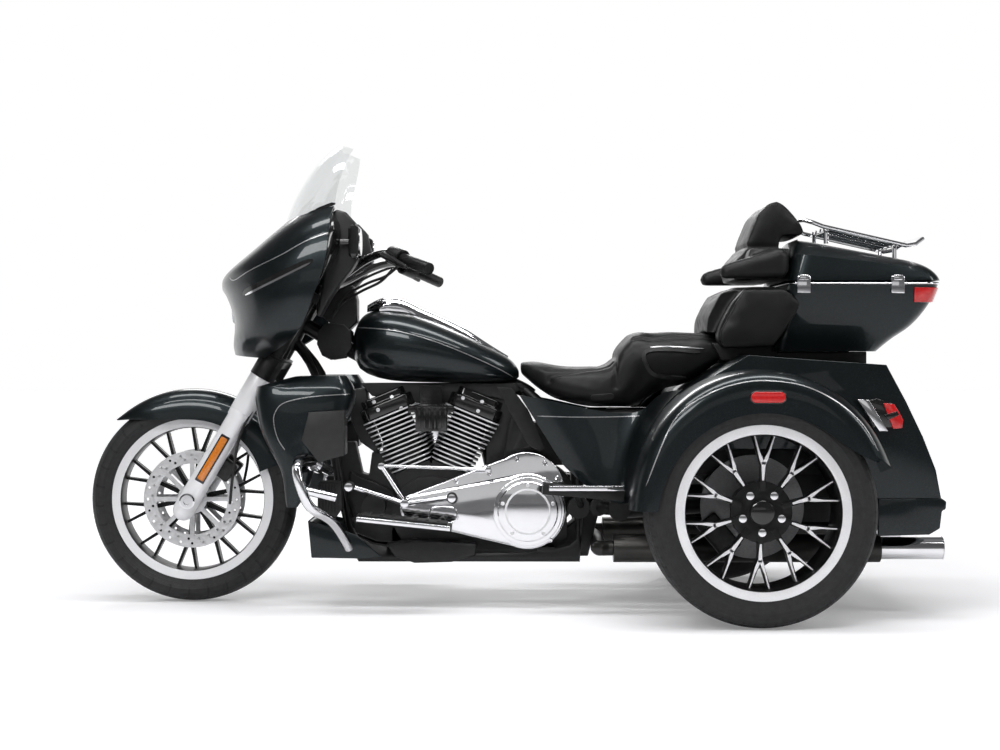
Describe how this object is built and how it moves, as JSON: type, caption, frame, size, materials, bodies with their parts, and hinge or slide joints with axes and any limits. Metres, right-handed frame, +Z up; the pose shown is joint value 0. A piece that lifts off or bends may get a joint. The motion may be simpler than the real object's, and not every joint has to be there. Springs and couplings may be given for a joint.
{
  "type": "motorized trike",
  "caption": "Touring trike with a fork-mounted fairing, air-cooled V-twin, wide rear fenders, lockable trunk and top box with passenger backrest.",
  "frame": {"origin": "on the ground under the middle of the whole part", "axes": "+X forward, +Y to the rider's left, +Z up"},
  "size_m": [2.589, 1.39, 1.4135],
  "materials": {
    "paint": "gloss",
    "chrome": "polished",
    "black_metal": "satin",
    "fins": "satin",
    "alloy": "satin",
    "wheel": "gloss",
    "disc": "satin",
    "tyre": "matt",
    "black_plastic": "satin",
    "screen": "polished",
    "lamp_clear": "polished",
    "lamp_red": "gloss",
    "seat_cover": "matt",
    "exhaust": "satin"
  },
  "bodies": {
    "chassis": {"steering_head": "black_metal", "frame": "black_metal", "engine_cases": "black_metal", "cylinders": "fins", "rocker_covers": "black_metal", "primary_cover": "chrome", "derby_cover": "chrome", "air_cleaner": "chrome", "neck_covers": "black_plastic", "battery_box": "black_metal", "side_coolers": "black_metal", "horn_cover": "black_plastic", "fuel_tank": "paint", "tank_console": "chrome", "seat": "seat_cover", "side_covers": "paint", "leg_fairings": "paint", "lower_pods": "black_plastic", "chin_spoiler": "paint", "engine_guards": "chrome", "floorboards": "black_metal", "foot_controls": "chrome", "exhaust_pipes": "exhaust", "mufflers": "exhaust", "rear_axle": "black_metal", "rear_calipers": "alloy", "trunk_body": "paint", "rear_fenders": "paint", "rear_bumper": "paint", "rear_lamps": "lamp_red", "tour_box": "paint", "tour_hinges": "black_metal", "trunk_hinges": "black_metal", "backrest_lower": "seat_cover", "tour_mount": "black_metal"},
    "steering": {"fork_uppers": "black_metal", "fork_sliders": "alloy", "front_axle": "alloy", "front_fender": "paint", "front_calipers": "alloy", "fairing_shell": "paint", "fairing_inner": "black_plastic", "windshield": "screen", "headlamp": "lamp_clear", "handlebar": "black_metal", "hand_controls": "black_plastic", "mirrors": "black_plastic"},
    "front_wheel_body": {"front_tyre": "tyre", "front_wheel": "wheel", "front_discs": "disc"},
    "rear_left": {"rear_tyre_left": "tyre", "rear_wheel_left": "wheel", "rear_disc_left": "disc"},
    "rear_right": {"rear_tyre_right": "tyre", "rear_wheel_right": "wheel", "rear_disc_right": "disc"},
    "tour_lid_body": {"tour_lid": "paint", "luggage_rack": "chrome", "backrest_upper": "seat_cover"},
    "trunk_door": {"trunk_lid": "paint"}
  },
  "joints": [
    {"name": "steer", "type": "hinge", "parent": "chassis", "child": "steering", "pos_m": [0.65993, 0, 0.85], "axis": [-0.4384, 0, 0.8988], "range_deg": [-30, 30]},
    {"name": "front_spin", "type": "hinge", "parent": "steering", "child": "front_wheel_body", "pos_m": [0.9755, 0, 0.319], "axis": [0, 1, 0], "continuous": true},
    {"name": "rear_left_spin", "type": "hinge", "parent": "chassis", "child": "rear_left", "pos_m": [-0.7095, 0.571, 0.325], "axis": [0, 1, 0], "continuous": true},
    {"name": "rear_right_spin", "type": "hinge", "parent": "chassis", "child": "rear_right", "pos_m": [-0.7095, -0.571, 0.325], "axis": [0, 1, 0], "continuous": true},
    {"name": "tour_lid_hinge", "type": "hinge", "parent": "chassis", "child": "tour_lid_body", "pos_m": [-1.0495, -0.306, 0.988], "axis": [1, 0, 0], "range_deg": [0, 70]},
    {"name": "trunk_hinge", "type": "hinge", "parent": "chassis", "child": "trunk_door", "pos_m": [-1.2605, 0, 0.368], "axis": [0, -1, 0], "range_deg": [0, 95]}
  ]
}
